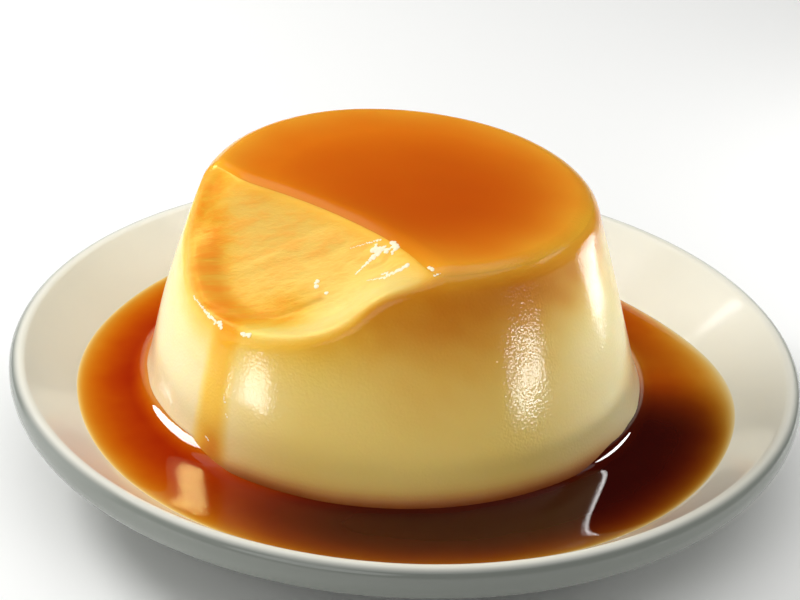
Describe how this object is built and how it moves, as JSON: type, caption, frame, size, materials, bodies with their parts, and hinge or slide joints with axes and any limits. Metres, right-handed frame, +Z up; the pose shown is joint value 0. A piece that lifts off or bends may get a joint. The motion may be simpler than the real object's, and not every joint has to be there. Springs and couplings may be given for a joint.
{
  "type": "creme caramel flan",
  "caption": "Turned-out creme caramel on its round saucer, with a spoonful gone from the front left and a pool of runny caramel round its foot.",
  "frame": {"origin": "on the table, in the middle of the saucer's foot ring", "axes": "+Z up; the cut faces -X and -Y, the front left"},
  "size_m": [0.14, 0.14, 0.0507],
  "materials": {
    "glazed_stoneware": "cream-white tableware glaze, glossy, bare and matt only on the foot's underside",
    "baked_custard": "set egg custard, translucent pale yellow, wet gloss over a finely pebbled skin, smeared with caramel in the cut",
    "soaked_caramel": "custard soaked with caramel, deep orange in the middle and amber towards the rim, satin wet",
    "runny_caramel": "runny caramel, clear red-brown, near black where deep and amber where thin, mirror gloss"
  },
  "bodies": {
    "root": {"saucer": "glazed_stoneware", "custard": "baked_custard", "caramel_top": "soaked_caramel", "caramel_pool": "runny_caramel"}
  },
  "joints": []
}
